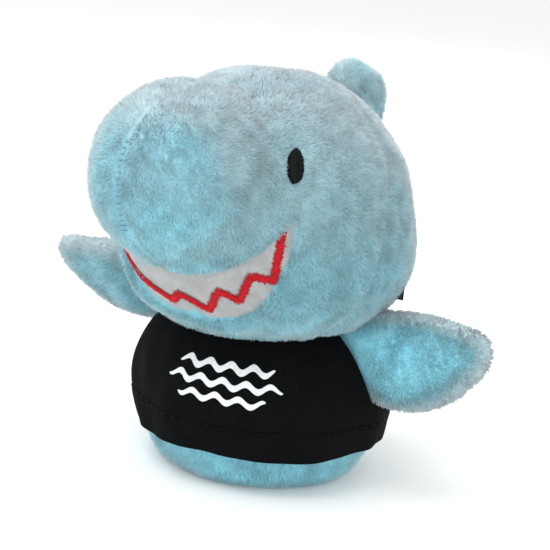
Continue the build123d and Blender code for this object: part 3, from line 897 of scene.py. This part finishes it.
def placeFin(side, flat, across):
    # from the fin's plane to the toy: pitched about its long middle line, lifted, spread and swept forward
    sign = 1 if side == "left" else -1
    a = math.radians(finLook["pitch"][side])
    root = finLook["rootFrom"]
    out = np.where(flat[:, 0] > root, root + (flat[:, 0] - root) * finLook["length"][side], flat[:, 0])
    up = flat[:, 1] - finLook["middleZ"]
    y = across * math.cos(a) - up * math.sin(a)
    z = across * math.sin(a) + up * math.cos(a) + finLook["middleZ"] + finLook["lift"][side]
    return turnZ(np.stack([sign * out, y, z], -1), -sign * math.radians(finLook["forward"]))


def finSpot(side, out, across=0.0, up=35.0):
    # one spot of the fin, from its distance out, its height and how far it stands across the fin's plane
    return placeFin(side, np.array([[out, up]]), np.array([across]))[0]


def finHalf(side, face, shrink=0.0):
    # half a cushion over the outline, thinner towards the tip, with soft dents that fade out at the rim
    rings, around = finLook["rings"], finLook["around"]
    flat, high, s = cushion(finLook["outline"], finLook["thick"], rings, around, shrink)
    if shrink:
        flat[:, 0] = np.maximum(flat[:, 0], finLook["fillingFrom"])
    level = np.stack([flat[:, 0], flat[:, 1], 0 * high], -1)
    dent = swell(level, finLook["dentSize"], finLook["seed"] + face)[0] * finLook["dent"]
    high = high * (1 - finLook["taper"] * ease(flat[:, 0], 30.0, 60.0))
    points = placeFin(side, flat, face * (high + dent * np.sqrt(np.clip(1 - s**2, 0, 1))))
    outward = np.broadcast_to(finSpot(side, 45.0, face * 9.0) - finSpot(side, 45.0), points.shape)
    return points, facing(points, gridFaces(rings, around, True), outward)


def makeFin(side):
    # a front and a back panel, which are sewn to the body, and the filling between them
    sign = 1 if side == "left" else -1
    outwards = unit(finSpot(side, 52.0, up=36.5) - finSpot(side, 28.0, up=36.5))
    nap = outwards * 0.8 + np.array([0, 0, -0.35])
    count = finLook["rimPoints"]
    rimPoints = placeFin(side, smoothLoop(finLook["outline"], count), np.zeros(count))

    def rimNear(p):
        # 1 at the fin's rim and 0 beyond rimWide inside it
        d = np.full(len(p), 99.0)
        for start in range(0, count, 20):
            d = np.minimum(d, np.linalg.norm(p[:, None] - rimPoints[None, start:start + 20], axis=2).min(1))
        return 1 - ease(d, 0.8, 0.8 + finLook["rimWide"])

    def finColour(p):
        # more saturated in the middle in soft patches, pale towards the rim as painted sheen
        rim = rimNear(p)
        patch = finLook["patch"] * swell(p, finLook["patchSize"], 17)[0]
        return (finLook["vivid"][side] + patch) * (1 - rim) ** 1.3 - finLook["rimPaintedSheen"] * rim**2.5

    def keepPile(p):
        # no pile where the shirt hides the root
        return ease(np.hypot(p[:, 0], p[:, 1]), finLook["pileFrom"], finLook["pileFrom"] + 1.5)

    for face, label in ((-1, "Front"), (1, "Back")):
        points, faces = finHalf(side, face)
        piece = plushPiece(f"{side}Fin{label}Panel", points, faces, pointNormals(points, faces), None,
                           [f"{side}_fin_{label.lower()}_panel"],
                           finLook["seed"] + face * sign + 3, keepPile,
                           lambda p: np.broadcast_to(nap, p.shape), finColour,
                           length=finLook["pileLength"])
        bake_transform(piece)
    points, faces = joined([finHalf(side, -1, finLook["skin"]), finHalf(side, 1, finLook["skin"])])
    filling = newPiece(f"{side}FinFilling", points, faces, [fibreFill], f"{side}_fin",
                       [f"{side}_fin_filling"])


def dorsalHalf(face, shrink=0.0):
    # half a cushion in the head's middle plane, with one straight crease pressed into it
    rings, around = dorsalLook["rings"], dorsalLook["around"]
    flat, high, s = cushion(dorsalLook["outline"], dorsalLook["thick"], rings, around, shrink,
                            dorsalLook["plump"])
    a, b = np.array(dorsalLook["fold"][0]), np.array(dorsalLook["fold"][1])
    t = np.clip(((flat - a) @ (b - a)) / ((b - a) @ (b - a)), 0, 1)[:, None]
    crease = np.exp(-(np.linalg.norm(flat - a - t * (b - a), axis=1) / dorsalLook["foldWide"]) ** 2)
    high = high - crease * dorsalLook["foldDeep"] * np.sqrt(np.clip(1 - s**2, 0, 1))
    points = turnZ(np.stack([face * high, flat[:, 0], flat[:, 1]], -1), headTurn)
    out = turnZ(np.array([float(face), 0.0, 0.0]), headTurn)
    return points, facing(points, gridFaces(rings, around, True), np.broadcast_to(out, points.shape))


def makeDorsalFin():
    # two panels, which meet the head, and the filling between them
    lean = math.radians(dorsalLook["lean"])
    away = turnZ(np.array([0.0, math.sin(lean), math.cos(lean)]), headTurn)
    middle = turnZ(craniumAt, headTurn)
    for face, label in ((1, "Left"), (-1, "Right")):
        points, faces = dorsalHalf(face)
        piece = plushPiece(f"dorsalFin{label}Panel", points, faces, pointNormals(points, faces), None,
                           [f"dorsal_fin_{label.lower()}_panel"], dorsalLook["seed"] + face,
                           lambda p: ease(np.linalg.norm(p - middle, axis=1), *dorsalLook["pileFrom"]),
                           lambda p: np.broadcast_to(away * 0.5, p.shape),
                           # the Vivid of 0.4 is painted light, a brighter pile that makes up for the weak
                           # light on the fin's sides; the patches are random tone
                           lambda p: 0.4 + 0.2 * swell(p, 9.0, 18)[0], length=1.3)
        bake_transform(piece)
    points, faces = joined([dorsalHalf(1, dorsalLook["skin"]), dorsalHalf(-1, dorsalLook["skin"])])
    filling = newPiece("dorsalFinFilling", points, faces, [fibreFill], "dorsal_fin",
                       ["dorsal_fin_filling"])


makeFin("left")
makeFin("right")
makeDorsalFin()
print("fins made")


def makeBody():
    # front and back: half rings whose radius follows the barrel, rounded in at the foot and drawn closed
    # under the head; the base is a flat disc of rings
    rows, columns = bodyLook["rows"], bodyLook["columns"]
    low = bodyLook["neckPile"]
    height = np.linspace(0.9, neckZ + bodyLook["topRise"] + bodyLook["closing"], rows)[:, None]
    for label, first in (("Front", -90.0), ("Back", 90.0)):
        azimuth = np.radians(first + np.linspace(0, 180, columns))[None, :]
        over = np.maximum(height - neckZ - bodyLook["topRise"], 0)
        foot = 1.6 * (1 - ease(height, 0.0, 4.0))
        radius = barrelRadius(height - over) - bodyLook["pileInset"] - foot - over
        z = height - over + 0.8 * ease(over, 0, 3)
        points = np.stack([radius * np.sin(azimuth), -radius * np.cos(azimuth), z + 0 * azimuth], -1)
        points = points.reshape(-1, 3)
        outward = points * np.array([1, 1, 0])
        points = points + unit(outward) * (0.25 * swell(points, 15.0, 31)[0] - 0.3)[:, None]
        faces = facing(points, gridFaces(rows, columns), outward)
        plushPiece(f"body{label}Panel", points, faces, pointNormals(points, faces), "torso",
                   [f"body_{label.lower()}_panel"], bodyLook["seed"] + int(first > 0),
                   lambda p: np.maximum(1 - ease(p[:, 2], bodyLook["pileTop"] - 1.5, bodyLook["pileTop"]),
                                        0.6 * ease(p[:, 2], low, low + 0.8)),
                   # the full Vivid below is painted light: a brighter pile that makes up for the shade low
                   # on the toy
                   lambda p: np.broadcast_to(np.array([0, 0, -0.35]), p.shape), lambda p: np.ones(len(p)),
                   length=bodyLook["pileLength"])
    ring = np.linspace(0, 1, 40)[:, None]
    turn = np.linspace(0, 2 * np.pi, 130, endpoint=False)[None, :]
    radius = (bodyLook["radii"][0] - 2.4) * ring
    points = np.stack([radius * np.cos(turn), radius * np.sin(turn), 0.75 + 0 * radius * turn], -1)
    points = points.reshape(-1, 3)
    down = np.broadcast_to(np.array([0.0, 0, -1]), points.shape)
    faces = facing(points, gridFaces(40, 130, True), down)
    plushPiece("basePanel", points, faces, down.copy(), "torso", ["base_panel"],
               bodyLook["seed"] + 5, None, lambda p: p * np.array([0.05, 0.05, 0]), thick=0.6, length=1.0,
               share=0.5)


makeBody()
print("body made")


shirtLook = {
    "hemZ": 9.7, "collarZ": 38.8, "thick": 0.55, "gap": 0.35, "rows": 120, "columns": 260,
    "armholeWide": 5.4, "armholeTall": 13.0, "armholeAt": 85.4, "hemFoldZ": 17.3, "hemFold": 0.28,
    "wrinkle": 0.3, "wrinkleSize": 12.0, "rippleSize": 9.0, "edgeRoll": 0.35,
    "radius": 31.0,                                     # lays the knit's map round the body
    "flat": (0.098, 0.034), "area": 0.0029,             # metres and square metres
    "dashCount": 64, "dashLong": 2.0, "dashThick": 0.16, "dashRadius": 32.5, "dashSeed": 91,
    "printZ": 28.0, "printAzimuth": 9.5, "printWide": 29.0, "printThick": 0.12, "printRadius": 31.5,
    "waves": ((3.6, 0.86), (0.0, 1.0), (-3.6, 0.74)),   # each line's rise and its share of the width
    "waveHalf": 0.75, "waveHigh": 0.7, "waveTurns": 1.1,
}


def armholeGap(z, side):
    # azimuth of the armhole's middle line and its half angle, in degrees, at each height
    pitch = math.radians(finLook["pitch"][side])
    lift = finLook["lift"][side]
    up = z - finLook["middleZ"] - lift
    t = np.clip(up / (shirtLook["armholeTall"] * math.cos(pitch)), -1, 0)
    halfWide = shirtLook["armholeWide"] / math.cos(pitch) * np.sqrt(1 - t**2)
    half = np.degrees(np.arcsin(halfWide / barrelRadius(z)))
    shift = np.degrees(up * math.tan(pitch) / barrelRadius(z)) * (t > -1)
    middle = 90 + (shirtLook["armholeAt"] - 90) * ease(z, 14, 21) - shift * ease(t, -1, -0.8)
    return middle, half * (t > -1)


def shirtRadius(z, azimuth):
    # the body's radius, a gap, the folded hem's extra layer, and soft creases
    spot = np.stack([30 * np.sin(np.radians(azimuth)), -30 * np.cos(np.radians(azimuth)), z * 0.8], -1)
    crease = swell(spot.reshape(-1, 3), shirtLook["wrinkleSize"], 41)[0].reshape(z.shape)
    ripple = swell((spot * np.array([1, 1, 0.15])).reshape(-1, 3), shirtLook["rippleSize"], 42)[0]
    ripple = ripple.reshape(z.shape)
    low = 1 - ease(z, 9.0, 15.0)
    fold = shirtLook["hemFold"] * (1 - ease(z, shirtLook["hemFoldZ"] - 0.5, shirtLook["hemFoldZ"] + 0.2))
    pucker = -0.22 * np.exp(-((z - shirtLook["hemFoldZ"] + 0.2) / 0.5) ** 2)
    return (barrelRadius(z) + shirtLook["gap"] + shirtLook["thick"] + fold + pucker + 0.3
            + shirtLook["wrinkle"] * crease + (0.1 + 0.22 * low) * ripple + 0.1 * low)


def makeShirt():
    # each panel spans the azimuths between the two armholes' edges at every height; its edges roll up there
    share = np.linspace(0, 1, shirtLook["columns"])[None, :]
    for label in ("Front", "Back"):
        z = np.linspace(shirtLook["hemZ"], shirtLook["collarZ"], shirtLook["rows"])[:, None] + 0 * share
        left, leftHalf = armholeGap(z, "left")
        right, rightHalf = armholeGap(z, "right")
        if label == "Front":
            low, high = -(right - rightHalf), left - leftHalf
        else:
            low, high = left + leftHalf, 360 - (right + rightHalf)
        azimuth = low * (1 - share) + high * share
        nearest = np.minimum(azimuth - low, high - azimuth) * 0.52
        ownLeft = (share > 0.5) if label == "Front" else (share <= 0.5)
        openEdge = ease(np.where(ownLeft, leftHalf, rightHalf), 0.0, 4.0)
        radius = shirtRadius(z, azimuth) + shirtLook["edgeRoll"] * np.exp(-(nearest / 1.1) ** 2) * openEdge
        z = z + 0.35 * np.sin(np.radians(azimuth) * 5 + 1) * (1 - ease(z, 9, 14))
        turn = np.radians(azimuth)
        points = np.stack([radius * np.sin(turn), -radius * np.cos(turn), z], -1).reshape(-1, 3)
        outward = points * np.array([1, 1, 0])
        faces = facing(points, gridFaces(shirtLook["rows"], shirtLook["columns"]), outward)
        uv = np.stack([(turn * shirtLook["radius"]).reshape(-1), z.reshape(-1)], -1)
        cloth, clothFaces = backed(points, faces, pointNormals(points, faces), shirtLook["thick"])
        piece = newPiece(f"shirt{label}Panel", cloth, clothFaces, [shirtKnit], "torso",
                         [f"shirt_{label.lower()}_panel"], uv=np.concatenate([uv, uv]))


def makeHemDashes():
    # a ring of running stitches through the hem's fold
    middle = np.arange(shirtLook["dashCount"]) * 360 / shirtLook["dashCount"]
    half = np.degrees(shirtLook["dashLong"] / 2 / shirtLook["dashRadius"])
    z = np.full(len(middle), shirtLook["hemFoldZ"] - 0.2)

    def spot(azimuth):
        turn = np.radians(azimuth)
        radius = shirtRadius(z, azimuth) + 0.02
        return np.stack([radius * np.sin(turn), -radius * np.cos(turn), z], -1)

    out = unit(spot(middle) * np.array([1, 1, 0]))
    points, faces, uv = threads(spot(middle - half), spot(middle + half), out, shirtLook["dashThick"],
                                0.22, 0.12, shirtLook["dashSeed"])
    newPiece("hemDashes", points, faces, [blackThread], "torso", ["hem_stitching"], uv=uv)


def makePrint():
    # three wavy lines of thin film on the chest: grids along sine waves that follow the shirt's own surface
    parts = []
    for k, (lift, wide) in enumerate(shirtLook["waves"]):
        along = np.linspace(-1, 1, 150)[None, :] * shirtLook["printWide"] / 2 * wide
        half = shirtLook["waveHalf"] * np.sqrt(1 - (along / (along.max() + 0.01)) ** 6)
        wave = shirtLook["waveHigh"] * np.sin(along * shirtLook["waveTurns"] + k * 1.4)
        z = shirtLook["printZ"] + lift + np.linspace(-1, 1, 10)[:, None] * half + wave
        azimuth = shirtLook["printAzimuth"] + np.degrees(along / shirtLook["printRadius"]) + 0 * z
        turn = np.radians(azimuth)
        radius = shirtRadius(z, azimuth) + shirtLook["printThick"] + 0.04
        points = np.stack([radius * np.sin(turn), -radius * np.cos(turn), z], -1).reshape(-1, 3)
        faces = facing(points, gridFaces(10, 150), points * np.array([1, 1, 0]))
        parts.append(backed(points, faces, pointNormals(points, faces), shirtLook["printThick"]))
    points, faces = joined(parts)
    newPiece("chestWaves", points, faces, [printFilm], "torso", ["chest_print"])


makeShirt()
makeHemDashes()
makePrint()
print("shirt made")


insideLook = {"head_filling": fibreFill, "body_filling": fibreFill, "neck_filling": fibreFill,
              "pellet_pouch": pouchCloth, "pellets": pelletPlastic}
for node, material in insideLook.items():
    inner = frame["nodes"][node]
    for held in [inner] + list(inner.children_recursive):
        if held.type == "MESH":
            for place in held.material_slots:
                place.material = material
print("insides given their materials")


# metres and degrees; each light has its place, the width of its disc and its power in watts
viewLook = {
    "target": (0.0, 0.001, 0.0477), "azimuth": 27.0, "elevation": 13.5, "roll": 5.5, "distance": 0.42,
    "lens": 110.0, "floorHalf": 40.0, "worldStrength": 0.94,
    "lights": {
        "topLight": ((-0.15, -0.25, 0.75), 0.6, 3.9),
        "frontLight": ((0.55, -0.75, 0.25), 0.7, 3.0),
        "sideLight": ((-0.8, -0.3, 0.3), 0.6, 1.5),
        "backLight": ((0.2, 0.9, 0.5), 0.7, 1.5),
    },
}


def makeStage():
    # a wide pale floor
    mesh = bpy.data.meshes.new("backdrop")
    wide, low = viewLook["floorHalf"], -0.0002
    mesh.from_pydata([(-wide, -wide, low), (wide, -wide, low), (wide, wide, low), (-wide, wide, low)], [],
                     [(0, 1, 2, 3)])
    floor = bpy.data.objects.new("backdrop", mesh)
    bpy.context.scene.collection.objects.link(floor)
    material, _, shader = newMaterial("paleBackdrop", Roughness=1.0)
    shader.inputs["Base Color"].default_value = shade(238, 240, 239)
    shader.inputs["Specular IOR Level"].default_value = 0.0
    shader.inputs["Emission Color"].default_value = (1, 1, 1, 1)
    shader.inputs["Emission Strength"].default_value = 0.1
    mesh.materials.append(material)


def areaLight(name, at, size, power):
    # a soft disc of light turned towards the target
    data = bpy.data.lights.new(name, "AREA")
    data.shape = "DISK"
    data.size = size
    data.energy = power
    light = bpy.data.objects.new(name, data)
    bpy.context.scene.collection.objects.link(light)
    spot = np.array(at, float)
    way = unit(np.array(viewLook["target"]) - spot)
    flat = math.hypot(way[0], way[1])
    light.location = spot
    light.rotation_euler = (math.atan2(flat, -way[2]), 0, math.atan2(-way[0], way[1]))


def makeCamera():
    # looks at the target from an azimuth and elevation, with a small roll
    a, e, r = (math.radians(viewLook[k]) for k in ("azimuth", "elevation", "roll"))
    back = np.array([math.sin(a) * math.cos(e), -math.cos(a) * math.cos(e), math.sin(e)])
    right = np.array([math.cos(a), math.sin(a), 0.0])
    up = np.cross(back, right)
    rolledRight = math.cos(r) * right + math.sin(r) * up
    rolledUp = -math.sin(r) * right + math.cos(r) * up
    place = np.eye(4)
    place[:3, 0], place[:3, 1], place[:3, 2] = rolledRight, rolledUp, back
    place[:3, 3] = np.array(viewLook["target"]) + back * viewLook["distance"]
    data = bpy.data.cameras.new("camera")
    data.lens, data.sensor_width, data.clip_start = viewLook["lens"], 36.0, 0.01
    camera = bpy.data.objects.new("camera", data)
    bpy.context.scene.collection.objects.link(camera)
    camera.matrix_world = Matrix([[float(x) for x in row] for row in place])
    bpy.context.scene.camera = camera


def makeWorld():
    # even white light from all round
    world = bpy.data.worlds.new("studio")
    world.use_nodes = True
    world.node_tree.nodes["Background"].inputs["Color"].default_value = (1, 1, 1, 1)
    world.node_tree.nodes["Background"].inputs["Strength"].default_value = viewLook["worldStrength"]
    bpy.context.scene.world = world
    bpy.context.scene.view_settings.view_transform = "Standard"


makeStage()
makeWorld()
makeCamera()
for lamp, (at, size, power) in viewLook["lights"].items():
    areaLight(lamp, at, size, power)
print("stage, lights and camera ready")
